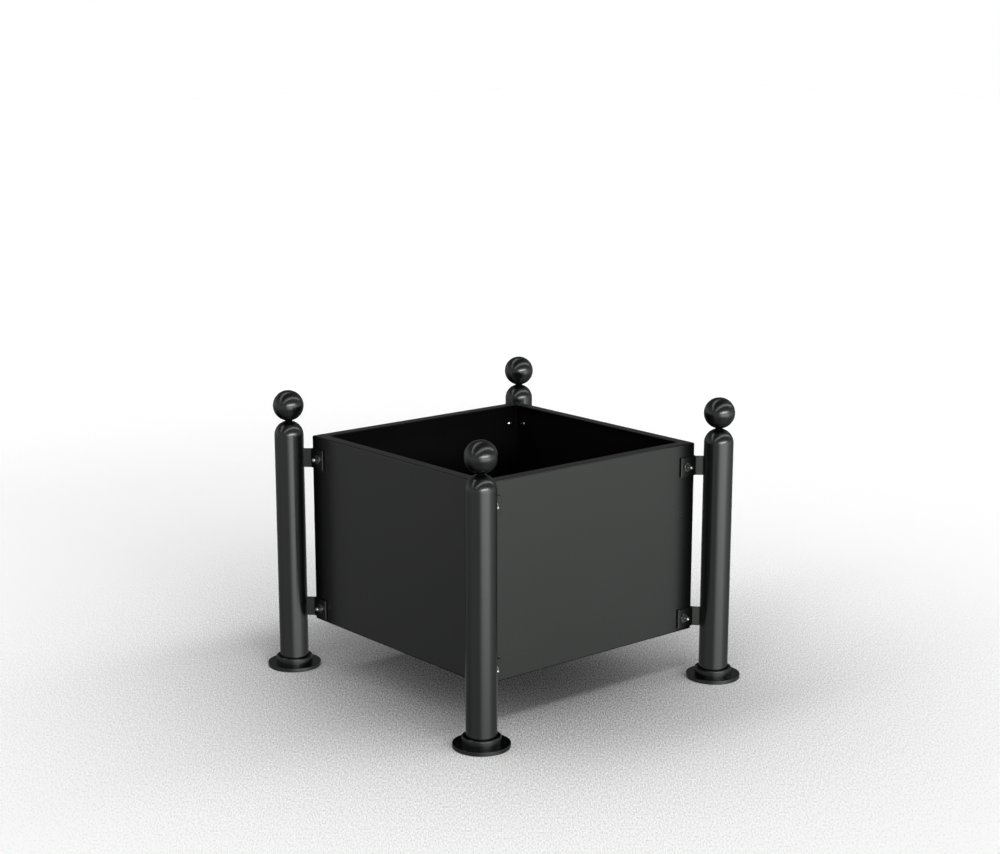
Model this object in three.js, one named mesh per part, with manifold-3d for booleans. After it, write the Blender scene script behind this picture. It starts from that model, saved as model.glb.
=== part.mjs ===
// Versailles planter: a square sheet-steel box bolted between four round posts.
// Millimetres, +Z up. The origin is on the ground, in the middle of the planter.
// The front faces -Y and the left faces -X.

import * as THREE from 'three';
import { mergeVertices } from 'three/addons/utils/BufferGeometryUtils.js';
import Module from 'manifold-3d';

const wasm = await Module();
wasm.setup();

// Clearances
const fitGap = 0.3;             // between any two pieces that touch or pass through each other
const boltHeadClearance = 3;    // between the floor plate and the lower bolt heads

// Box
const boxSide = 702;            // outside, both ways
const boxHeight = 500;
const groundClearance = 130;    // ground to the box's lower edge
const panelSheet = 3;
const innerBend = 1;            // inside radius of each fold
const rimWidth = 30;            // top return, folded inwards
const footReturn = 30;          // bottom return, folded inwards

// Floor
const floorSheet = 3;
const drainDiameter = 24;
const drainPitch = 220;         // from the middle hole to the four others, both ways
const bearerWidth = 40;
const bearerSheet = 3;

// Posts
const postDiameter = 76.1;
const postWall = 3;
const cornerSpace = 24;         // clear space between the box's corner and the post, on the diagonal
const bossWall = 4.5;           // wall of the threaded boss inside the dome
const bossLength = 20;          // from the dome's top downwards

// Ball finials
const ballDiameter = 80;
const ballWall = 3;
const studDiameter = 18;
const studBore = 8;             // drains the hollow ball

// Base rosettes
const flangeDiameter = 141;
const flangeThickness = 10;
const flangeEdge = 1.5;         // chamfer on both edges of the flange
const collarDiameter = 94;
const collarHeight = 26.5;      // above the ground
const collarRound = 6;          // radius of the collar's shoulder
const grooveWidth = 2;          // open groove between the post and the collar's lip
const grooveDepth = 4;
const baseWeb = 4;              // material under the post

// Corner brackets
const bracketHeight = 50;
const bracketSheet = 5;
const bracketReach = 50;        // length of each plate along its face of the box
const upperInset = 35;          // box's upper edge to the upper bracket
const lowerInset = 10;          // box's lower edge to the lower bracket
const boltInset = 28;           // box's corner to the bolt's axis

// Bolts and cap nuts
const boltDiameter = 8;
const boltHeadOverhang = 6;     // head beyond the shank, all round
const boltHeadHeight = 4.5;
const boltCrownRadius = 5;      // flat middle of the domed head
const boltHeadEdge = 1;         // upright edge of the head
const nutWall = 2.5;            // shank to the nut's flats
const nutHeight = 6.5;          // of the hexagon
const capHeight = 15;           // whole nut, with its dome
const capEndWall = 3;           // metal at the closed end of the thread
const capStep = 0.3;            // nut's flats to the dome
const washerRim = 4.5;          // washer beyond the nut's flats
const washerThickness = 2;
const boltEndSpace = 1;         // between the bolt's end and the closed end of the thread

// Roundness
const postSides = 24;
const ballSides = 20;
const baseSides = 28;
const boltSides = 8;
const nutSides = 10;
const holeSides = 10;
const domeSteps = 5;
const ballSteps = 9;
const capSteps = 2;
const shoulderSteps = 3;
const bendSteps = 2;

// Derived places
const half = boxSide / 2;
const boxBottom = groundClearance;
const boxTop = boxBottom + boxHeight;
const outerBend = panelSheet + innerBend;
const postRadius = postDiameter / 2;
const postInnerRadius = postRadius - postWall;
const postCentre = half + (cornerSpace + postRadius) / Math.SQRT2;
const domeTop = boxTop + postRadius;              // the straight tube ends level with the rim
const studRadius = studDiameter / 2;
const bossBottom = domeTop - bossLength;
const ballRadius = ballDiameter / 2;
const ballCentre = domeTop + fitGap + ballRadius;
const upperBolts = boxTop - upperInset - bracketHeight / 2;
const lowerBolts = boxBottom + lowerInset + bracketHeight / 2;
const boltRadius = boltDiameter / 2;
const boltHeadRadius = boltRadius + boltHeadOverhang;
const boltHoleRadius = boltRadius + fitGap;
const bracketFace = fitGap + bracketSheet;        // outer face of a plate, from the panel's face
const nutSeat = bracketFace + fitGap;             // underside of the washer, from the panel's face
const drillLength = 2 * (panelSheet + nutSeat);   // centred on a panel's face
const threadEnd = nutSeat + washerThickness + capHeight - capEndWall;
const floorTop = lowerBolts - boltHeadRadius - boltHeadClearance;
const floorUnderside = floorTop - floorSheet;
const bearerBottom = boxBottom + panelSheet + fitGap;
const bearerHeight = floorUnderside - fitGap - bearerBottom;
const floorSide = boxSide - 2 * (panelSheet + fitGap);
const bearerLength = boxSide - 2 * (outerBend + fitGap);
const bearerCentre = drainPitch / 2;              // midway between the middle hole and the others
const mergeDistance = 1e-4;

const coat = (color, roughness) => new THREE.MeshStandardMaterial({ color, roughness, metalness: 0.2 });
const panelCoat = coat(0x2b2d2b, 0.5);
const postCoat = coat(0x2a2c2b, 0.35);
const baseCoat = coat(0x1f2120, 0.4);
const brightSteel = new THREE.MeshStandardMaterial({ color: 0xb9bcbd, roughness: 0.3, metalness: 1 });

// Turns a closed geometry into a solid that can be cut and joined.
function solid(geometry) {
  const bare = geometry.clone();
  bare.deleteAttribute('normal');
  bare.deleteAttribute('uv');
  const merged = mergeVertices(bare, mergeDistance);
  return new wasm.Manifold(new wasm.Mesh({
    numProp: 3,
    vertProperties: merged.attributes.position.array,
    triVerts: Uint32Array.from(merged.index.array),
  }));
}

function geometryOf(manifold) {
  const mesh = manifold.getMesh();
  const geometry = new THREE.BufferGeometry();
  geometry.setAttribute('position', new THREE.BufferAttribute(mesh.vertProperties, 3));
  geometry.setIndex(new THREE.BufferAttribute(mesh.triVerts, 1));
  geometry.computeVertexNormals();
  return geometry;
}

function box(low, high) {
  const size = high.map((value, axis) => value - low[axis]);
  const middle = high.map((value, axis) => (value + low[axis]) / 2);
  return new THREE.BoxGeometry(...size).translate(...middle);
}

// Turns a profile of [radius, height] points about the Z axis.
function turned(profile, sides) {
  const points = profile.map(([radius, height]) => new THREE.Vector2(radius, height));
  return new THREE.LatheGeometry(points, sides).rotateX(Math.PI / 2);
}

// Points on a circle in the radius-height plane, angles in degrees from the outward direction.
function arc(radius, height, size, from, to, steps) {
  return Array.from({ length: steps + 1 }, (_, step) => {
    const angle = THREE.MathUtils.degToRad(from + (to - from) * step / steps);
    return [radius + size * Math.cos(angle), height + size * Math.sin(angle)];
  });
}

const degreesAt = (offset, radius) => THREE.MathUtils.radToDeg(Math.acos(offset / radius));

// Tube with a hemispherical top. A boss under the dome takes the finial's stud.
function postGeometry() {
  const holeRadius = studRadius + fitGap;
  const bossRadius = holeRadius + bossWall;
  const foot = baseWeb + fitGap;
  return turned([
    [postInnerRadius, foot],
    [postRadius, foot],
    ...arc(0, boxTop, postRadius, 0, degreesAt(holeRadius, postRadius), domeSteps),
    [holeRadius, bossBottom],
    [bossRadius, bossBottom],
    ...arc(0, boxTop, postInnerRadius, degreesAt(bossRadius, postInnerRadius), 0, domeSteps - 1),
    [postInnerRadius, foot],
  ], postSides);
}

// Hollow ball on a hollow stud, centred on the ball.
function ballGeometry() {
  const studBottom = bossBottom - ballCentre;
  const boreRadius = studBore / 2;
  const innerRadius = ballRadius - ballWall;
  return turned([
    [boreRadius, studBottom],
    [studRadius, studBottom],
    ...arc(0, 0, ballRadius, -degreesAt(studRadius, ballRadius), 90, ballSteps),
    ...arc(0, 0, innerRadius, 90, -degreesAt(boreRadius, innerRadius), domeSteps),
    [boreRadius, studBottom],
  ], ballSides);
}

// Round flange with a collar. The post stands in the socket, behind an open groove.
function rosetteGeometry() {
  const flangeRadius = flangeDiameter / 2;
  const collarRadius = collarDiameter / 2;
  const socketRadius = postRadius + fitGap;
  const lipRadius = postRadius + grooveWidth;
  return turned([
    [0, 0],
    [flangeRadius - flangeEdge, 0],
    [flangeRadius, flangeEdge],
    [flangeRadius, flangeThickness - flangeEdge],
    [flangeRadius - flangeEdge, flangeThickness],
    [collarRadius, flangeThickness],
    ...arc(collarRadius - collarRound, collarHeight - collarRound, collarRound, 0, 90, shoulderSteps),
    [lipRadius, collarHeight],
    [lipRadius, collarHeight - grooveDepth],
    [socketRadius, collarHeight - grooveDepth],
    [socketRadius, baseWeb],
    [0, baseWeb],
  ], baseSides);
}

// Hole for a bolt along Y, or along X, centred on a point of the panel's face.
function boltHole(x, y, z, alongX) {
  const hole = new THREE.CylinderGeometry(boltHoleRadius, boltHoleRadius, drillLength, holeSides);
  if (alongX) hole.rotateZ(Math.PI / 2);
  return solid(hole.translate(x, y, z));
}

// The rear panel: a channel with both edges folded inwards and its ends mitred at 45 degrees.
function panelGeometry() {
  const outline = new THREE.Shape();
  outline.moveTo(rimWidth, boxTop);
  outline.lineTo(outerBend, boxTop);
  outline.absarc(outerBend, boxTop - outerBend, outerBend, Math.PI / 2, Math.PI, false);
  outline.lineTo(0, boxBottom + outerBend);
  outline.absarc(outerBend, boxBottom + outerBend, outerBend, Math.PI, Math.PI * 1.5, false);
  outline.lineTo(footReturn, boxBottom);
  outline.lineTo(footReturn, boxBottom + panelSheet);
  outline.lineTo(outerBend, boxBottom + panelSheet);
  outline.absarc(outerBend, boxBottom + outerBend, innerBend, Math.PI * 1.5, Math.PI, true);
  outline.lineTo(panelSheet, boxTop - outerBend);
  outline.absarc(outerBend, boxTop - outerBend, innerBend, Math.PI, Math.PI / 2, true);
  outline.lineTo(rimWidth, boxTop - panelSheet);
  outline.closePath();
  const settings = { depth: 1, steps: 1, bevelEnabled: false, curveSegments: bendSteps };
  const strip = new THREE.ExtrudeGeometry(outline, settings);
  const place = strip.attributes.position;
  for (let index = 0; index < place.count; index += 1) {
    const inwards = place.getX(index);
    const end = place.getZ(index) > 0.5 ? -1 : 1;
    const reach = half - inwards - fitGap / Math.SQRT2;
    place.setXYZ(index, end * reach, half - inwards, place.getY(index));
  }
  let panel = solid(strip);
  for (const side of [-1, 1]) {
    for (const height of [upperBolts, lowerBolts]) {
      panel = panel.subtract(boltHole(side * (half - boltInset), half, height, false));
    }
  }
  return geometryOf(panel);
}

function floorGeometry() {
  const reach = floorSide / 2;
  const radius = drainDiameter / 2;
  let plate = solid(box([-reach, -reach, floorUnderside], [reach, reach, floorTop]));
  for (const [across, along] of [[0, 0], [1, 1], [1, -1], [-1, 1], [-1, -1]]) {
    const drain = new THREE.CylinderGeometry(radius, radius, 4 * floorSheet, holeSides);
    drain.rotateX(Math.PI / 2).translate(across * drainPitch, along * drainPitch, floorTop);
    plate = plate.subtract(solid(drain));
  }
  return geometryOf(plate);
}

// Angle along Y: one leg lies under the floor plate, the other stands on the panels' foot returns.
function bearerGeometry() {
  const standing = -bearerWidth / 2;
  const free = bearerWidth / 2;
  const outline = new THREE.Shape([
    [standing, 0], [standing + bearerSheet, 0], [standing + bearerSheet, bearerHeight - bearerSheet],
    [free, bearerHeight - bearerSheet], [free, bearerHeight], [standing, bearerHeight],
  ].map(([x, y]) => new THREE.Vector2(x, y)));
  const angle = new THREE.ExtrudeGeometry(outline, { depth: bearerLength, bevelEnabled: false });
  return angle.rotateX(Math.PI / 2).translate(0, bearerLength / 2, bearerBottom);
}

// Bracket of the rear right corner, centred on its height: two plates and the tab to the post.
function bracketGeometry() {
  const top = bracketHeight / 2;
  const near = half + fitGap;
  const far = half + bracketFace;
  const plates = [
    box([near, half - bracketReach, -top], [far, half, top]),
    box([half - bracketReach, near, -top], [half, far, top]),
  ];
  const tabStart = near * Math.SQRT2;
  const tabEnd = postCentre * Math.SQRT2 - postRadius - fitGap;
  const tab = box([tabStart, -bracketSheet / 2, -top], [tabEnd, bracketSheet / 2, top]);
  return geometryOf(solid(plates[0])
    .add(solid(plates[1]))
    .add(solid(tab.rotateZ(Math.PI / 4)))
    .subtract(boltHole(half, half - boltInset, 0, true))
    .subtract(boltHole(half - boltInset, half, 0, false)));
}

// Fasteners stand along +Z, with zero at the panel's outer face.
function boltGeometry() {
  const seat = -panelSheet - fitGap;
  const crown = seat - boltHeadHeight;
  return turned([
    [0, crown],
    [boltCrownRadius, crown],
    [boltHeadRadius, seat - boltHeadEdge],
    [boltHeadRadius, seat],
    [boltRadius, seat],
    [boltRadius, threadEnd - boltEndSpace],
    [0, threadEnd - boltEndSpace],
  ], boltSides);
}

// Cap nut on its flat washer.
function capNutGeometry() {
  const flats = boltRadius + nutWall;
  const washerTop = nutSeat + washerThickness;
  const hexTop = washerTop + nutHeight;
  const capTop = washerTop + capHeight;
  const capRadius = flats - capStep;
  const washer = turned([[0, nutSeat], [flats + washerRim, nutSeat], [flats + washerRim, washerTop],
    [0, washerTop]], nutSides);
  const across = flats / Math.cos(Math.PI / 6);
  const hexagon = turned([[0, nutSeat], [across, nutSeat], [across, hexTop], [0, hexTop]], 6);
  const cap = turned([[0, washerTop], [capRadius, washerTop],
    ...arc(0, capTop - capRadius, capRadius, 0, 90, capSteps)], nutSides);
  const thread = turned([[0, 0], [boltHoleRadius, 0], [boltHoleRadius, threadEnd],
    [0, threadEnd]], nutSides);
  return geometryOf(solid(washer).add(solid(hexagon)).add(solid(cap)).subtract(solid(thread)));
}

const planter = new THREE.Group();

function addPiece(parent, name, geometry, material, x = 0, y = 0, z = 0) {
  const piece = new THREE.Mesh(geometry, material);
  piece.name = name;
  piece.position.set(x, y, z);
  parent.add(piece);
  return piece;
}

// Box: four equal panels, each turned a quarter on from the last.
const panel = panelGeometry();
['rear', 'left', 'front', 'right'].forEach((name, turn) => {
  addPiece(planter, `side_panel_${name}`, panel, panelCoat).rotation.z = turn * Math.PI / 2;
});
addPiece(planter, 'floor_plate', floorGeometry(), panelCoat);
const bearer = bearerGeometry();
addPiece(planter, 'floor_bearer_left', bearer, panelCoat, -bearerCentre);
addPiece(planter, 'floor_bearer_right', bearer, panelCoat, bearerCentre).rotation.z = Math.PI;

// Corners: post, finial, rosette and two bolted brackets, made once and turned a quarter each time.
const post = postGeometry();
const ball = ballGeometry();
const rosette = rosetteGeometry();
const bracket = bracketGeometry();
const bolt = boltGeometry();
const capNut = capNutGeometry();
const corners = [
  { name: 'rear_right', faces: ['right', 'rear'] },
  { name: 'rear_left', faces: ['rear', 'left'] },
  { name: 'front_left', faces: ['left', 'front'] },
  { name: 'front_right', faces: ['front', 'right'] },
];

function addBracket(corner, level, height, name, faces) {
  addPiece(corner, `bracket_${level}_${name}`, bracket, panelCoat, 0, 0, height);
  const sites = [
    { x: half, y: half - boltInset, turn: new THREE.Euler(0, Math.PI / 2, 0) },
    { x: half - boltInset, y: half, turn: new THREE.Euler(-Math.PI / 2, 0, 0) },
  ];
  sites.forEach(({ x, y, turn }, site) => {
    const place = `${level}_${name}_on_${faces[site]}`;
    addPiece(corner, `bolt_${place}`, bolt, brightSteel, x, y, height).rotation.copy(turn);
    addPiece(corner, `cap_nut_${place}`, capNut, brightSteel, x, y, height).rotation.copy(turn);
  });
}

corners.forEach(({ name, faces }, turn) => {
  const corner = new THREE.Group();
  corner.rotation.z = turn * Math.PI / 2;
  planter.add(corner);
  addPiece(corner, `post_${name}`, post, postCoat, postCentre, postCentre, 0);
  addPiece(corner, `ball_finial_${name}`, ball, postCoat, postCentre, postCentre, ballCentre);
  addPiece(corner, `base_rosette_${name}`, rosette, baseCoat, postCentre, postCentre, 0);
  addBracket(corner, 'upper', upperBolts, name, faces);
  addBracket(corner, 'lower', lowerBolts, name, faces);
});

export default planter;
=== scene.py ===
import math
import random

import bmesh
import bpy
from mathutils import Matrix, Vector


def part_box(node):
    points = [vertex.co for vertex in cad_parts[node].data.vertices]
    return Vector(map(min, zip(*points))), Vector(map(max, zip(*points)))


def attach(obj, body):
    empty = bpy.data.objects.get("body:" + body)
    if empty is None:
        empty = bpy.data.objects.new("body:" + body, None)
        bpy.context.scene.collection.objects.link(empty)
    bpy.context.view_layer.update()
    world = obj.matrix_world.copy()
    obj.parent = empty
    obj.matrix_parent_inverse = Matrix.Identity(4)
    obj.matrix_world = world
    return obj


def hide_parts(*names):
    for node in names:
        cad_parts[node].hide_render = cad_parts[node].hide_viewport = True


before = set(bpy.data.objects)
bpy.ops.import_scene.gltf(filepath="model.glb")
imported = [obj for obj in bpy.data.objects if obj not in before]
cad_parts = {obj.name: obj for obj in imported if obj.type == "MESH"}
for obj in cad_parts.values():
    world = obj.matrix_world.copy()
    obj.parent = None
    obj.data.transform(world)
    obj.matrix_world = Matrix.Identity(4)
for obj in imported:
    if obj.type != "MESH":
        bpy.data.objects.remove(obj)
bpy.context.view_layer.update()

mm = 0.001
scene = bpy.context.scene

# Places taken from the frame at the rear right corner, which the others copy by quarter turns.
panelLow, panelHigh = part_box("side_panel_rear")
postLow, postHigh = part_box("post_rear_right")
bracketLow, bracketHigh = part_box("bracket_upper_rear_right")
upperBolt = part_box("bolt_upper_rear_right_on_rear")
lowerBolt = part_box("bolt_lower_rear_right_on_rear")
half = panelHigh.y  # middle of the box to its outer faces
boxBottom, boxTop = panelLow.z, panelHigh.z
postMiddle = (postLow + postHigh) / 2
postRadius = (postHigh.x - postLow.x) / 2
boltAcross = (upperBolt[0].x + upperBolt[1].x) / 2
boltTip = upperBolt[1].y - half  # beyond the panel's outer face
boltLevels = {
    "upper": (upperBolt[0].z + upperBolt[1].z) / 2,
    "lower": (lowerBolt[0].z + lowerBolt[1].z) / 2,
}

panelFaces = ("rear", "left", "front", "right")  # a quarter turn apart
corners = {  # each with the faces that meet there, a quarter turn apart
    "rear_right": ("right", "rear"),
    "rear_left": ("rear", "left"),
    "front_left": ("left", "front"),
    "front_right": ("front", "right"),
}
fitGap = 0.3 * mm  # between pieces that touch
mergeGap = 0.001 * mm  # points closer than this become one
nearby = 0.01 * mm  # how close a point counts as in its place
creaseAngle = 40  # degrees; edges sharper than this stay sharp


def quarter(turns):
    return Matrix.Rotation(turns * math.pi / 2, 4, "Z")


class Wire:  # an output socket that can stand in a Python sum
    def __init__(self, board, socket):
        self.board = board
        self.socket = socket

    def maths(self, operation, first, second):
        return self.board.node("ShaderNodeMath", {"operation": operation}, {0: first, 1: second})

    def __add__(self, other):
        return self.maths("ADD", self, other)

    def __radd__(self, other):
        return self.maths("ADD", other, self)

    def __sub__(self, other):
        return self.maths("SUBTRACT", self, other)

    def __rsub__(self, other):
        return self.maths("SUBTRACT", other, self)

    def __mul__(self, other):
        return self.maths("MULTIPLY", self, other)

    def __rmul__(self, other):
        return self.maths("MULTIPLY", other, self)

    def __truediv__(self, other):
        return self.maths("DIVIDE", self, other)

    def __rtruediv__(self, other):
        return self.maths("DIVIDE", other, self)

    def __abs__(self):
        return self.maths("ABSOLUTE", self, 0)


class Board:  # the node tree of a material or of the world
    def __init__(self, owner):
        owner.use_nodes = True
        self.tree = owner.node_tree
        self.tree.nodes.clear()

    def node(self, kind, settings, inputs, output=0):
        made = self.tree.nodes.new(kind)
        for name, value in settings.items():
            setattr(made, name, value)
        for name, value in inputs.items():
            if isinstance(value, Wire):
                self.tree.links.new(value.socket, made.inputs[name])
            else:
                made.inputs[name].default_value = value
        return Wire(self, made.outputs[output]) if made.outputs else None

    def split(self, vector):
        parts = self.node("ShaderNodeSeparateXYZ", {}, {"Vector": vector}, "X")
        return [Wire(self, parts.socket.node.outputs[axis]) for axis in "XYZ"]

    def mixColour(self, factor, first, second):  # inputs 6 and 7 and output 2 are the colour ones
        settings = {"data_type": "RGBA"}
        return self.node("ShaderNodeMix", settings, {0: factor, 6: first, 7: second}, 2)

    def noise(self, where, scale, detail, roughness=0.5):
        settings = {"noise_dimensions": "3D"}
        inputs = {"Vector": where, "Scale": scale, "Detail": detail, "Roughness": roughness}
        return self.node("ShaderNodeTexNoise", settings, inputs)

    def smooth(self, value, low, high):  # 0 below low, 1 above high, with soft ends
        settings = {"interpolation_type": "SMOOTHSTEP", "clamp": True}
        inputs = {"Value": value, "From Min": low, "From Max": high}
        return self.node("ShaderNodeMapRange", settings, inputs)

    def window(self, value, shape):  # 1 within reach of the middle, 0 beyond, with a soft edge
        middle, reach, soft = shape
        return 1 - self.smooth(abs(value - middle), reach - soft, reach + soft)


def coatMaterial(name, coat):
    material = bpy.data.materials.new(name)
    board = Board(material)
    place = board.node("ShaderNodeTexCoord", {}, {}, "Object")
    cloud = board.noise(place, coat["cloudScale"], coat["cloudDetail"])
    speck = board.noise(place, coat["speckScale"], coat["speckDetail"], coat["speckRoughness"])
    peel = board.noise(place, coat["peelScale"], coat["peelDetail"], coat["peelRoughness"])
    lightness = board.smooth(cloud, *coat["cloudEdges"])
    tone = board.mixColour(lightness, (*coat["dark"], 1), (*coat["light"], 1))
    rough = coat["roughness"] + coat["roughSpread"] * (cloud - 0.5) + coat["speckSpread"] * (speck - 0.5)
    bump = board.node("ShaderNodeBump", {}, {
        "Strength": 1, "Distance": coat["peelHeight"], "Height": peel})
    shader = board.node("ShaderNodeBsdfPrincipled", {}, {
        "Base Color": tone, "Roughness": rough, "Normal": bump,
        "Metallic": coat["metallic"], "Specular IOR Level": coat["specular"],
        "Specular Tint": (*coat["tint"], 1)})
    board.node("ShaderNodeOutputMaterial", {}, {"Surface": shader})
    return material


satinCoat = {
    "dark": (0.0012, 0.0014, 0.0013), "light": (0.0018, 0.0020, 0.0019), "tint": (0.94, 1, 0.95),
    "roughness": 0.26, "roughSpread": 0.05, "speckSpread": 0.03, "metallic": 0, "specular": 0.5,
    "cloudScale": 5, "cloudDetail": 3, "cloudEdges": (0.35, 0.65),
    "speckScale": 260, "speckDetail": 2, "speckRoughness": 0.6,
    "peelScale": 520, "peelDetail": 2, "peelRoughness": 0.45, "peelHeight": 0.003 * mm,
}
bracketCoat = dict(satinCoat, cloudScale=12)
tubeCoat = dict(satinCoat, roughness=0.23, tint=(0.957, 1, 0.975))
rosetteCoat = dict(tubeCoat, roughness=0.25, specular=0.42)
# painted shade: a darker, duller coat for the box's inside, the floor sheet, the bearers and the balls'
# necks, standing in for the shade that falls there
paintedShadeCoat = dict(
    satinCoat, dark=(0.0009, 0.0009, 0.0009), light=(0.0014, 0.0014, 0.0014), roughness=0.7,
    specular=0.05, peelScale=240, peelHeight=0.02 * mm)
fastenerCoat = dict(
    satinCoat, dark=(0.20, 0.20, 0.195), light=(0.26, 0.26, 0.255), tint=(1, 1, 1), roughness=0.19,
    metallic=1, peelScale=900, peelHeight=0.001 * mm)
washerCoat = dict(fastenerCoat, dark=(0.20, 0.20, 0.20), light=(0.25, 0.25, 0.25), roughness=0.22)

materials = {
    "panel": coatMaterial("satin_panel_coat", satinCoat),
    "bracket": coatMaterial("satin_bracket_coat", bracketCoat),
    "post": coatMaterial("satin_post_coat", tubeCoat),
    "base": coatMaterial("satin_base_coat", rosetteCoat),
    "inner": coatMaterial("inner_painted_shade_coat", paintedShadeCoat),
    "fastener": coatMaterial("fastener_finish", fastenerCoat),
    "washer": coatMaterial("washer_finish", washerCoat),
}
print("materials made")


def arcPoints(middle, radius, start, end, steps):  # angles in degrees
    return [
        (middle[0] + radius * math.cos(angle), middle[1] + radius * math.sin(angle))
        for angle in (math.radians(start + (end - start) * step / steps) for step in range(steps + 1))
    ]


def turned(profile, segments, closed=True):  # spins radius and height points round the Z axis
    bm = bmesh.new()
    verts = [bm.verts.new((radius, 0, height)) for radius, height in profile]
    pairs = list(zip(verts, verts[1:]))
    if closed:
        pairs.append((verts[-1], verts[0]))
    edges = [bm.edges.new(pair) for pair in pairs]
    bmesh.ops.spin(
        bm, geom=verts + edges, cent=(0, 0, 0), axis=(0, 0, 1), angle=math.tau,
        steps=segments, use_merge=True)
    bmesh.ops.remove_doubles(bm, verts=bm.verts, dist=mergeGap)
    bmesh.ops.recalc_face_normals(bm, faces=bm.faces)
    return bm


def drawnOut(outline, way):  # a bar: a flat outline, extruded
    bm = bmesh.new()
    end = bm.faces.new([bm.verts.new(point) for point in outline])
    drawn = bmesh.ops.extrude_face_region(bm, geom=[end])["geom"]
    drawnVerts = [part for part in drawn if isinstance(part, bmesh.types.BMVert)]
    bmesh.ops.translate(bm, verts=drawnVerts, vec=way)
    bmesh.ops.recalc_face_normals(bm, faces=bm.faces)
    return bm


def roundEdges(bm, edges, width, segments):
    bmesh.ops.bevel(
        bm, geom=edges, offset=width, offset_type="OFFSET", affect="EDGES", segments=segments,
        profile=0.5, material=-1, clamp_overlap=True)


def roundRings(bm, rings, width, segments):  # rings are radius and height pairs of a turned body
    def on(vert, ring):
        radius = math.hypot(vert.co.x, vert.co.y)
        return abs(radius - ring[0]) < nearby and abs(vert.co.z - ring[1]) < nearby

    edges = [edge for edge in bm.edges for ring in rings if all(on(vert, ring) for vert in edge.verts)]
    roundEdges(bm, edges, width, segments)


def sharpEdges(bm, degrees=30):  # where the faces turn by more than this
    limit = math.radians(degrees)
    return [edge for edge in bm.edges if edge.is_manifold and edge.calc_face_angle() > limit]


def block(low, high):
    bm = bmesh.new()
    bmesh.ops.create_cube(bm, size=1)
    low, high = Vector(low), Vector(high)
    bmesh.ops.scale(bm, verts=bm.verts, vec=high - low)
    bmesh.ops.translate(bm, verts=bm.verts, vec=(low + high) / 2)
    return bm


def rod(start, direction, radius, length, sides):  # a round or many-sided bar
    bm = bmesh.new()
    bmesh.ops.create_cone(
        bm, cap_ends=True, segments=sides, radius1=radius, radius2=radius, depth=length)
    aim = Vector(direction).to_track_quat("Z", "Y").to_matrix().to_4x4()
    shift = Matrix.Translation(Vector(start) + Vector(direction) * length / 2)
    bmesh.ops.transform(bm, matrix=shift @ aim, verts=bm.verts)
    return bm


def drill(place, direction, radius, sheet, sides):  # for a hole through a sheet whose face is at place
    return rod(Vector(place) - Vector(direction) * sheet, direction, radius, 3 * sheet, sides)


def combine(first, second, operation):  # exact Boolean of two closed meshes; both are used up
    holders = []
    for bm in (first, second):
        mesh = bpy.data.meshes.new("shape")
        bm.to_mesh(mesh)
        bm.free()
        holder = bpy.data.objects.new("shape", mesh)
        scene.collection.objects.link(holder)
        holders.append(holder)
    boolean = holders[0].modifiers.new("cut", "BOOLEAN")
    boolean.operation = operation
    boolean.solver = "EXACT"
    boolean.object = holders[1]
    result = holders[0].evaluated_get(bpy.context.evaluated_depsgraph_get())
    bm = bmesh.new()
    bm.from_mesh(result.to_mesh())
    result.to_mesh_clear()
    for holder in holders:
        mesh = holder.data
        bpy.data.objects.remove(holder)
        bpy.data.meshes.remove(mesh)
    bmesh.ops.remove_doubles(bm, verts=bm.verts, dist=mergeGap)
    return bm


def merged(parts):  # several closed shells in one mesh; the parts are used up
    bm = bmesh.new()
    for part in parts:
        mesh = bpy.data.meshes.new("shape")
        part.to_mesh(mesh)
        part.free()
        bm.from_mesh(mesh)
        bpy.data.meshes.remove(mesh)
    return bm


def keep(bm):  # as a mesh that each piece copies
    mesh = bpy.data.meshes.new("shape")
    bm.to_mesh(mesh)
    bm.free()
    return mesh


def addPiece(name, mesh, placing, slots, nodes):
    own = mesh.copy()
    own.name = name
    own.transform(placing)
    for slot in slots:
        own.materials.append(materials[slot])
    own.polygons.foreach_set("use_smooth", [True] * len(own.polygons))
    own.set_sharp_from_angle(angle=math.radians(creaseAngle))
    piece = bpy.data.objects.new(name, own)
    scene.collection.objects.link(piece)
    weighting = piece.modifiers.new("flat faces", "WEIGHTED_NORMAL")
    weighting.keep_sharp = True
    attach(piece, "root")
    if nodes:
        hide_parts(*nodes)


panel = {
    "sheet": 3 * mm, "innerBend": 1 * mm, "rim": 30 * mm, "footReturn": 30 * mm,
    "bendSteps": 8, "mitreGap": 0.1 * mm, "edge": 0.3 * mm, "edgeSteps": 2,
    "holeRadius": 4.3 * mm, "holeSides": 32,
    "innerDepth": 0.9, "innerMargin": 0.6,  # in sheets, where the inner coat with its painted shade starts
}


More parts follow.
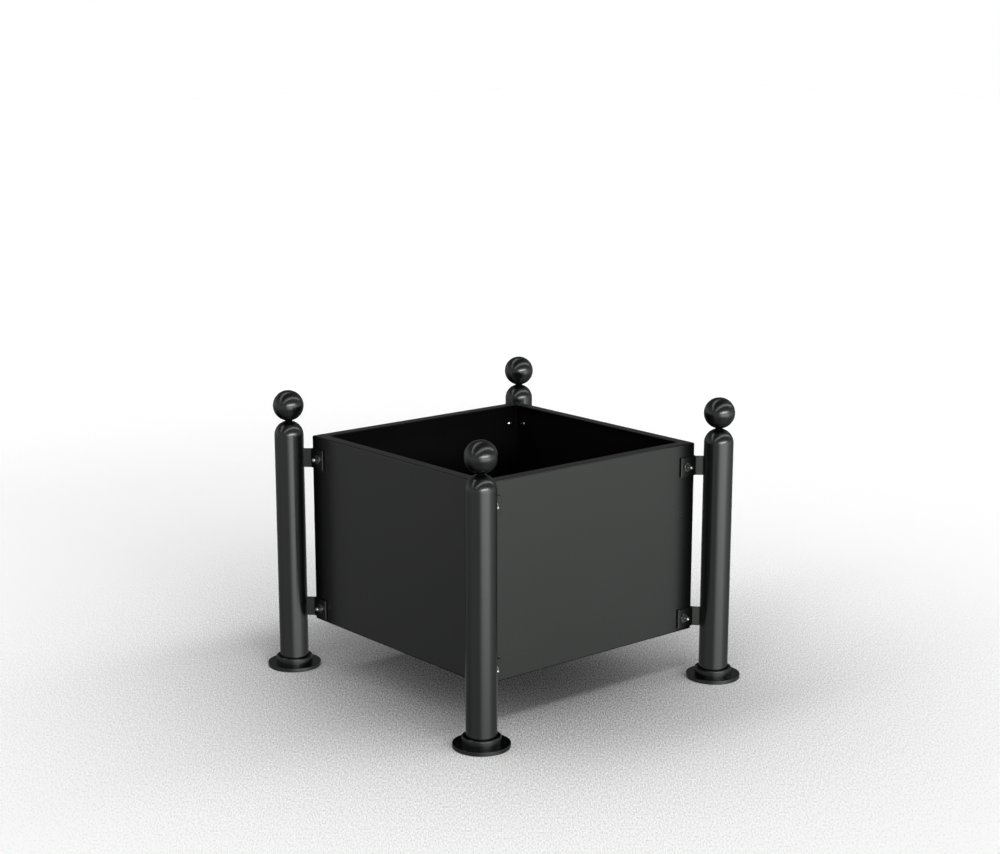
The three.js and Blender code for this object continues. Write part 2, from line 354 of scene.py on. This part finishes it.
def panelShape():
    sheet = panel["sheet"]
    inner = panel["innerBend"]
    outer = sheet + inner
    steps = panel["bendSteps"]
    topBend = (outer, boxTop - outer)
    lowBend = (outer, boxBottom + outer)
    outline = [(panel["rim"], boxTop)]
    outline += arcPoints(topBend, outer, 90, 180, steps)
    outline += arcPoints(lowBend, outer, 180, 270, steps)
    outline += [(panel["footReturn"], boxBottom), (panel["footReturn"], boxBottom + sheet)]
    outline += arcPoints(lowBend, inner, 270, 180, steps)
    outline += arcPoints(topBend, inner, 180, 90, steps)
    outline += [(panel["rim"], boxTop - sheet)]
    bm = drawnOut([(-half, half - inwards, height) for inwards, height in outline], (2 * half, 0, 0))
    for vert in bm.verts:  # mitres both ends at 45 degrees
        vert.co.x = math.copysign(vert.co.y - panel["mitreGap"], vert.co.x)
    bmesh.ops.recalc_face_normals(bm, faces=bm.faces)
    roundEdges(bm, sharpEdges(bm, creaseAngle), panel["edge"], panel["edgeSteps"])
    drills = [
        drill((side * boltAcross, half - sheet, level), (0, 1, 0), panel["holeRadius"], sheet,
              panel["holeSides"])
        for side in (-1, 1) for level in boltLevels.values()
    ]
    bm = combine(bm, merged(drills), "DIFFERENCE")
    # painted shade: faces inside the box take the darker inner coat
    margin = panel["innerMargin"] * sheet
    for face in bm.faces:
        middle = face.calc_center_median()
        deep = middle.y < half - panel["innerDepth"] * sheet
        face.material_index = 1 if deep and boxBottom + margin < middle.z < boxTop - margin else 0
    return keep(bm)


panelMesh = panelShape()
for turns, face in enumerate(panelFaces):
    addPiece(f"panel_{face}", panelMesh, quarter(turns), ["panel", "inner"],
             [f"side_panel_{face}"])

floorPlate = {
    "drainRadius": 12 * mm, "drainPitch": 220 * mm, "drainSides": 64, "edge": 0.4 * mm, "edgeSteps": 2,
}


def floorShape():
    low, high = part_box("floor_plate")
    pitch = floorPlate["drainPitch"]
    places = [(0, 0), (pitch, pitch), (pitch, -pitch), (-pitch, pitch), (-pitch, -pitch)]
    drills = [
        drill((x, y, low.z), (0, 0, 1), floorPlate["drainRadius"], high.z - low.z,
              floorPlate["drainSides"])
        for x, y in places
    ]
    plate = combine(block(low, high), merged(drills), "DIFFERENCE")
    roundEdges(plate, sharpEdges(plate), floorPlate["edge"], floorPlate["edgeSteps"])
    return keep(plate)


# painted shade: the floor sheet inside the box takes the darker inner coat
addPiece("floor_sheet", floorShape(), Matrix(), ["inner"], ["floor_plate"])

bearer = {"sheet": 3 * mm, "outerBend": 3.5 * mm, "bendSteps": 5, "edge": 0.4 * mm, "edgeSteps": 2}


def bearerShape():  # an angle
    low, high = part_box("floor_bearer_left")
    sheet = bearer["sheet"]
    outline = [
        (low.x, low.z), (low.x + sheet, low.z), (low.x + sheet, high.z - sheet),
        (high.x, high.z - sheet), (high.x, high.z), (low.x, high.z)]
    bm = drawnOut([(x, low.y, z) for x, z in outline], (0, high.y - low.y, 0))
    fold = [edge for edge in bm.edges
            if all(abs(vert.co.x - low.x) + abs(vert.co.z - high.z) < nearby for vert in edge.verts)]
    roundEdges(bm, fold, bearer["outerBend"], bearer["bendSteps"])
    roundEdges(bm, sharpEdges(bm, creaseAngle), bearer["edge"], bearer["edgeSteps"])
    return keep(bm)


bearerMesh = bearerShape()
# painted shade: the bearers under the box take the darker inner coat
addPiece("bearer_left", bearerMesh, Matrix(), ["inner"], ["floor_bearer_left"])
addPiece("bearer_right", bearerMesh, quarter(2), ["inner"], ["floor_bearer_right"])
print("box made")

tube = {
    "wall": 3 * mm, "segments": 96, "domeSteps": 24, "holeRadius": 9.3 * mm, "bossWall": 4.5 * mm,
    "bossLength": 20 * mm, "edge": 0.4 * mm, "edgeSteps": 2,
}


def tubeShape():
    outer = postRadius
    inner = outer - tube["wall"]
    hole = tube["holeRadius"]
    boss = hole + tube["bossWall"]
    bossBottom = boxTop + outer - tube["bossLength"]
    foot = postLow.z
    steps = tube["domeSteps"]
    profile = [(inner, foot), (outer, foot)]
    profile += arcPoints((0, boxTop), outer, 0, math.degrees(math.acos(hole / outer)), steps)
    profile += [(hole, bossBottom), (boss, bossBottom)]
    profile += arcPoints((0, boxTop), inner, math.degrees(math.acos(boss / inner)), 0, steps)
    bm = turned(profile, tube["segments"])
    roundRings(bm, [(outer, foot), (inner, foot)], tube["edge"], tube["edgeSteps"])
    return keep(bm)


finial = {
    "radius": 40 * mm, "studRadius": 9 * mm, "segments": 96, "ballSteps": 48,
    "weld": 1.5 * mm, "weldSteps": 3,
}


def ballShape():
    low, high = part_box("ball_finial_rear_right")
    radius = finial["radius"]
    stud = finial["studRadius"]
    middle = high.z - radius
    lowest = -math.degrees(math.acos(stud / radius))
    profile = [(0, low.z), (stud, low.z)]
    profile += arcPoints((0, middle), radius, lowest, 90, finial["ballSteps"])
    profile[-1] = (0, high.z)
    bm = turned(profile, finial["segments"], closed=False)
    joint = (stud, middle + radius * math.sin(math.radians(lowest)))
    roundRings(bm, [joint], finial["weld"], finial["weldSteps"])
    # painted shade: the neck below the ball takes the darker inner coat, so it shows no highlight
    for face in bm.faces:
        face.material_index = 1 if face.calc_center_median().z < joint[1] else 0
    return keep(bm)


rosette = {
    "flangeRadius": 70.5 * mm, "flangeThickness": 10 * mm, "flangeEdge": 1 * mm, "flangeSteps": 4,
    "collarRadius": 48 * mm, "collarHeight": 29 * mm, "collarRound": 4 * mm, "shoulderSteps": 12,
    "grooveWidth": 4 * mm, "grooveDepth": 5 * mm, "web": 4 * mm, "lipEdge": 0.7 * mm, "lipSteps": 3,
    "segments": 128,
}


def rosetteShape():
    flange = rosette["flangeRadius"]
    thick = rosette["flangeThickness"]
    collar = rosette["collarRadius"]
    height = rosette["collarHeight"]
    shoulder = rosette["collarRound"]
    lip = postRadius + rosette["grooveWidth"]
    socket = postRadius + fitGap
    grooveFloor = height - rosette["grooveDepth"]
    profile = [(0, 0), (flange, 0), (flange, thick), (collar, thick)]
    bend = (collar - shoulder, height - shoulder)
    profile += arcPoints(bend, shoulder, 0, 90, rosette["shoulderSteps"])
    profile += [(lip, height), (lip, grooveFloor), (socket, grooveFloor), (socket, rosette["web"]),
                (0, rosette["web"])]
    bm = turned(profile, rosette["segments"], closed=False)
    roundRings(bm, [(flange, 0), (flange, thick)], rosette["flangeEdge"], rosette["flangeSteps"])
    roundRings(bm, [(lip, height)], rosette["lipEdge"], rosette["lipSteps"])
    return keep(bm)


tubeMesh = tubeShape()
ballMesh = ballShape()
rosetteMesh = rosetteShape()
toPost = Matrix.Translation((postMiddle.x, postMiddle.y, 0))
for turns, corner in enumerate(corners):
    placing = quarter(turns) @ toPost
    addPiece(f"tube_{corner}", tubeMesh, placing, ["post"], [f"post_{corner}"])
    addPiece(f"ball_{corner}", ballMesh, placing, ["post", "inner"],
             [f"ball_finial_{corner}"])
    addPiece(f"rosette_{corner}", rosetteMesh, placing, ["base"],
             [f"base_rosette_{corner}"])
print("posts made")

bracket = {
    "sheet": 5 * mm, "reach": 50 * mm, "edge": 0.3 * mm, "edgeSteps": 2, "tabSteps": 3,
    "endRound": 2 * mm, "endSteps": 4, "bendSides": 64, "holeRadius": 4.3 * mm, "holeSides": 32,
}
weld = {  # where the tab meets the plates and the post
    "radius": 1.2 * mm, "sides": 12, "pitch": 3.2 * mm, "ripple": 0.15 * mm, "ringsPerRipple": 4,
    "stop": 0.6 * mm, "aside": 0.3 * mm,  # short of each end, and out from the tab's face
}


def weldBead(x, y, height):  # a rippled bead that stands upright
    bm = bmesh.new()
    rings = round(height / weld["pitch"] * weld["ringsPerRipple"])
    ring = bmesh.ops.create_circle(
        bm, cap_ends=False, segments=weld["sides"], radius=weld["radius"])["verts"]
    bmesh.ops.translate(bm, verts=ring, vec=(0, 0, -height / 2))
    edges = bm.edges[:]
    for _ in range(rings):
        drawn = bmesh.ops.extrude_edge_only(bm, edges=edges)["geom"]
        edges = [part for part in drawn if isinstance(part, bmesh.types.BMEdge)]
        verts = [part for part in drawn if isinstance(part, bmesh.types.BMVert)]
        bmesh.ops.translate(bm, verts=verts, vec=(0, 0, height / rings))
    bmesh.ops.holes_fill(bm, edges=bm.edges[:], sides=0)
    for vert in bm.verts:
        ripple = weld["ripple"] * math.cos(vert.co.z / weld["pitch"] * math.tau)
        scale = 1 + ripple / weld["radius"]
        vert.co.x *= scale
        vert.co.y *= scale
    bmesh.ops.translate(bm, verts=bm.verts, vec=(x, y, 0))
    bmesh.ops.recalc_face_normals(bm, faces=bm.faces)
    return bm


def bracketPlate(low, high):  # its free end, away from the corner, has rounded upright edges
    start = half - bracket["reach"]
    bm = block(low, high)
    free = [
        edge for edge in bm.edges
        if abs(edge.verts[0].co.z - edge.verts[1].co.z) > nearby
        and all(min(vert.co.x, vert.co.y) < start + nearby for vert in edge.verts)
    ]
    roundEdges(bm, free, bracket["endRound"], bracket["endSteps"])
    roundEdges(bm, sharpEdges(bm, creaseAngle), bracket["edge"], bracket["edgeSteps"])
    return bm


def bracketShape():  # two plates that meet in a round bend, with a tab on the diagonal
    height = bracketHigh.z - bracketLow.z
    top = height / 2
    sheet = bracket["sheet"]
    edge = bracket["edge"]
    near = half + fitGap
    far = near + sheet
    start = half - bracket["reach"]
    tabStart = near * math.sqrt(2)
    tabEnd = math.hypot(postMiddle.x, postMiddle.y) - postRadius - fitGap
    tab = block((tabStart, -sheet / 2, -top), (tabEnd, sheet / 2, top))
    roundEdges(tab, tab.edges[:], edge, bracket["tabSteps"])
    diagonal = Matrix.Rotation(math.pi / 4, 3, "Z")
    bmesh.ops.rotate(tab, verts=tab.verts, cent=(0, 0, 0), matrix=diagonal)
    bend = rod((near, near, -top), (0, 0, 1), sheet, height, bracket["bendSides"])
    roundEdges(bend, sharpEdges(bend), edge, bracket["edgeSteps"])
    shape = combine(bracketPlate((near, start, -top), (far, near, top)), bend, "UNION")
    shape = combine(shape, bracketPlate((start, near, -top), (near, far, top)), "UNION")
    shape = combine(shape, tab, "UNION")
    hole, sides = bracket["holeRadius"], bracket["holeSides"]
    drills = [drill((near, boltAcross, 0), (1, 0, 0), hole, sheet, sides),
              drill((boltAcross, near, 0), (0, 1, 0), hole, sheet, sides)]
    shape = combine(shape, merged(drills), "DIFFERENCE")
    aside = sheet / 2 + weld["aside"]
    beads = []
    for out in (tabStart + sheet, tabEnd):
        for side in (-1, 1):
            x, y, _ = diagonal @ Vector((out, -aside * side, 0))
            beads.append(weldBead(x, y, height - 2 * weld["stop"]))
    return keep(merged([shape] + beads))


bolt = {
    "radius": 4 * mm, "headRadius": 10 * mm, "headHeight": 4.5 * mm, "headEdge": 1 * mm,
    "edge": 0.3 * mm, "edgeSteps": 2, "crownSteps": 10, "tipChamfer": 0.8 * mm, "segments": 48,
}
capNut = {
    "acrossFlats": 13 * mm, "hexHeight": 6.5 * mm, "height": 15 * mm,
    "domeRadius": 6.1 * mm, "domeSteps": 12, "chamfer": 1.5 * mm, "lidGap": 0.05 * mm,
    "threadRadius": 4.3 * mm, "threadSides": 32, "segments": 48,
    "overlap": 1 * mm,  # of the shapes that are joined or cut
    "turnSeed": 7,  # leaves each nut at its own angle
}
washer = {
    "radius": 12 * mm, "hole": 4.3 * mm, "thickness": 2 * mm, "edge": 0.35 * mm, "edgeSteps": 3,
    "segments": 64,
}
nutSeat = bracket["sheet"] + 2 * fitGap  # panel's outer face to the underside of the washer


def boltShape():  # along +Z, with zero at the panel's outer face
    shank = bolt["radius"]
    head = bolt["headRadius"]
    chamfer = bolt["tipChamfer"]
    seat = -panel["sheet"] - fitGap
    rim = seat - bolt["headEdge"]
    rise = bolt["headHeight"] - bolt["headEdge"]
    crown = (head * head + rise * rise) / (2 * rise)  # radius of the domed head
    spread = math.degrees(math.asin(head / crown))
    profile = arcPoints((0, rim - rise + crown), crown, 270, 270 + spread, bolt["crownSteps"])
    profile[0] = (0, rim - rise)
    profile += [(head, seat), (shank, seat), (shank, boltTip - chamfer), (shank - chamfer, boltTip),
                (0, boltTip)]
    bm = turned(profile, bolt["segments"], closed=False)
    roundRings(bm, [(head, rim), (head, seat)], bolt["edge"], bolt["edgeSteps"])
    return keep(bm)


def capNutShape():
    flats = capNut["acrossFlats"] / 2
    points = flats / math.cos(math.pi / 6)
    low = nutSeat + washer["thickness"]
    hexTop = low + capNut["hexHeight"]
    top = low + capNut["height"]
    overlap = capNut["overlap"]
    hexagon = rod((0, 0, low), (0, 0, 1), points, capNut["hexHeight"], 6)
    bmesh.ops.rotate(
        hexagon, verts=hexagon.verts, cent=(0, 0, 0), matrix=Matrix.Rotation(math.pi / 6, 3, "Z"))
    lid = hexTop + capNut["lidGap"]
    barrel = turned([(0, low - overlap), (points + overlap, low - overlap),
                     (points + overlap, hexTop - capNut["chamfer"]), (flats, lid), (0, lid)],
                    capNut["segments"], closed=False)
    nut = combine(hexagon, barrel, "INTERSECT")
    dome = capNut["domeRadius"]
    profile = [(0, low + overlap), (dome, low + overlap)]
    profile += arcPoints((0, top - dome), dome, 0, 90, capNut["domeSteps"])
    profile[-1] = (0, top)
    nut = combine(nut, turned(profile, capNut["segments"], closed=False), "UNION")
    thread = rod((0, 0, 0), (0, 0, 1), capNut["threadRadius"], boltTip + overlap, capNut["threadSides"])
    return keep(combine(nut, thread, "DIFFERENCE"))


def washerShape():
    top = nutSeat + washer["thickness"]
    inner, outer = washer["hole"], washer["radius"]
    bm = turned([(inner, nutSeat), (outer, nutSeat), (outer, top), (inner, top)], washer["segments"])
    roundRings(bm, [(outer, nutSeat), (outer, top), (inner, top)], washer["edge"], washer["edgeSteps"])
    return keep(bm)


bracketMesh = bracketShape()
boltMesh = boltShape()
nutMesh = capNutShape()
washerMesh = washerShape()
sites = [  # of the two bolts of a bracket, with Z out of the panel
    Matrix.Translation((half, boltAcross, 0)) @ Matrix.Rotation(math.pi / 2, 4, "Y"),
    Matrix.Translation((boltAcross, half, 0)) @ Matrix.Rotation(-math.pi / 2, 4, "X"),
]
spanner = random.Random(capNut["turnSeed"])
for turns, (corner, faces) in enumerate(corners.items()):
    for level, height in boltLevels.items():
        base = quarter(turns) @ Matrix.Translation((0, 0, height))
        addPiece(f"corner_bracket_{level}_{corner}", bracketMesh, base, ["bracket"],
                 [f"bracket_{level}_{corner}"])
        for face, site in zip(faces, sites):
            place = f"{level}_{corner}_on_{face}"
            twist = Matrix.Rotation(spanner.uniform(0, math.pi / 3), 4, "Z")
            addPiece(f"coach_bolt_{place}", boltMesh, base @ site, ["fastener"],
                     [f"bolt_{place}"])
            addPiece(f"dome_nut_{place}", nutMesh, base @ site @ twist, ["fastener"],
                     [f"cap_nut_{place}"])
            addPiece(f"washer_{place}", washerMesh, base @ site, ["washer"], [])
print("brackets and fasteners made")

stage = {
    "size": 60, "tone": 1.1, "grain": 0.34, "shadeGrain": 3.1, "grainTurn": 50, "grainDetail": 1,
    "grainScale": (100, 310, 100),  # drawn out along the view, so that it looks even in the picture
    "shade": 0.84, "shadeReach": 0.6, "shadeFall": 2.35,  # painted shade: the floor's colour is darker round the object, within metres
}


def addFloor():
    mesh = bpy.data.meshes.new("ground")
    bm = bmesh.new()
    bmesh.ops.create_grid(bm, x_segments=1, y_segments=1, size=stage["size"] / 2)
    bm.to_mesh(mesh)
    bm.free()
    ground = bpy.data.objects.new("ground", mesh)
    scene.collection.objects.link(ground)
    material = bpy.data.materials.new("pale_ground")
    board = Board(material)
    place = board.node("ShaderNodeTexCoord", {}, {}, "Object")
    away = board.node("ShaderNodeVectorMath", {"operation": "LENGTH"}, {0: place}, "Value")
    far = board.node("ShaderNodeMath", {"operation": "POWER"}, {
        0: away / stage["shadeReach"], 1: stage["shadeFall"]})
    # painted shade round the object, on top of the lamps' own shadows
    shade = stage["shade"] / (1 + far)
    swung = board.node("ShaderNodeVectorRotate", {"rotation_type": "Z_AXIS"}, {
        "Vector": place, "Angle": -math.radians(stage["grainTurn"])})
    stretched = board.node("ShaderNodeVectorMath", {"operation": "MULTIPLY"}, {
        0: swung, 1: stage["grainScale"]})
    grain = board.noise(stretched, 1, stage["grainDetail"]) - 0.5
    # the floor's colour: an even tone, the painted shade round the object, and a grain that is stronger
    # in that shade
    tone = stage["tone"] * (1 - shade) * (1 + (stage["grain"] + stage["shadeGrain"] * shade) * grain)
    colour = board.node("ShaderNodeCombineColor", {}, {"Red": tone, "Green": tone, "Blue": tone})
    shader = board.node("ShaderNodeBsdfDiffuse", {}, {"Color": colour})
    board.node("ShaderNodeOutputMaterial", {}, {"Surface": shader})
    mesh.materials.append(material)
    ground.visible_glossy = False
    ground.visible_diffuse = False


# Soft lamps far away: the direction of the middle, half the angle they cover and the softness of
# their edge, in degrees. Azimuth runs anticlockwise from +X, and elevation up from the horizon.
lamps = {
    "glow": {"azimuth": (-97, 31, 18), "elevation": (-8, 8, 12), "power": 5.4},
    "front": {"azimuth": (-50, 13, 37), "elevation": (-4.5, 11, 11.5), "power": 1.9},
    "side": {"azimuth": (161, 65, 30), "elevation": (2, 15, 30), "power": 0.8},
    "back": {"azimuth": (45, 40, 30), "elevation": (-14, 12, 12), "power": 0.3},
    "fill": {"azimuth": (-57, 61, 44), "elevation": (-11, 60, 30), "power": 0.34},
}
# Softboxes parallel to X: the middle, half the size and the softness of the edge of each, seen
# in the plane at unit distance ahead or above.
softboxes = {
    "key": {"plane": "ahead", "along": (-0.3, 0.55, 0.5), "across": (0.215, 0.055, 0.045), "power": 32},
    "overFront": {"plane": "above", "along": (0, 2.6, 0.5), "across": (-0.55, 0.13, 0.015), "power": 4.4},
    "overRear": {"plane": "above", "along": (-1.2, 1.5, 0.6), "across": (0.55, 0.13, 0.015), "power": 3},
}
dome = {"upper": 0.11, "lower": 0.34, "soft": 0.1, "front": -130, "frontEdges": (-0.3, 0.6)}


def addWorld():
    world = bpy.data.worlds.new("studio")
    scene.world = world
    board = Board(world)
    around = board.node("ShaderNodeTexCoord", {}, {}, "Generated")
    x, y, z = board.split(around)
    azimuth = board.node("ShaderNodeMath", {"operation": "ARCTAN2"}, {0: y, 1: x}) * math.degrees(1)
    elevation = board.node("ShaderNodeMath", {"operation": "ARCSINE"}, {0: z}) * math.degrees(1)
    glow = 0
    for lamp in lamps.values():
        turn, reach, soft = lamp["azimuth"]
        off = board.node("ShaderNodeMath", {"operation": "WRAP"}, {0: azimuth - turn, 1: 180, 2: -180})
        shape = board.window(off, (0, reach, soft)) * board.window(elevation, lamp["elevation"])
        glow = glow + lamp["power"] * shape
    least = 0.001  # keeps the divisions below away from zero
    ahead = board.node("ShaderNodeMath", {"operation": "MAXIMUM"}, {0: 0 - y, 1: least})
    above = board.node("ShaderNodeMath", {"operation": "MAXIMUM"}, {0: z, 1: least})
    planes = {"ahead": (x / ahead, z / ahead), "above": (x / above, y / above)}
    for softbox in softboxes.values():
        along, across = planes[softbox["plane"]]
        shape = board.window(along, softbox["along"]) * board.window(across, softbox["across"])
        glow = glow + softbox["power"] * shape
    isUp = board.smooth(z, -dome["soft"], dome["soft"])
    front = math.radians(dome["front"])
    facing = board.smooth(x * math.cos(front) + y * math.sin(front), *dome["frontEdges"])
    glow = glow + dome["upper"] * isUp + dome["lower"] * facing * (1 - isUp)
    seen = board.node("ShaderNodeLightPath", {}, {}, "Is Camera Ray")
    strength = glow * (1 - seen) + seen  # the backdrop itself looks white
    background = board.node("ShaderNodeBackground", {}, {"Color": (1, 1, 1, 1), "Strength": strength})
    board.node("ShaderNodeOutputWorld", {}, {"Surface": background})


camera = {
    "place": (-3.2023, -3.8124, 1.7132), "yaw": 50.026, "pitch": 13.387,  # metres and degrees
    "lens": 70.823, "shift": 0.05, "farthest": 200,
}


def addCamera():
    data = bpy.data.cameras.new("camera")
    data.lens = camera["lens"]
    data.shift_y = camera["shift"]
    data.clip_end = camera["farthest"]
    view = bpy.data.objects.new("camera", data)
    view.location = camera["place"]
    view.rotation_euler = (math.radians(90 - camera["pitch"]), 0, math.radians(camera["yaw"] - 90))
    scene.collection.objects.link(view)
    scene.camera = view


addFloor()
addWorld()
addCamera()
scene.view_settings.view_transform = "Standard"
print("stage, light and camera made")
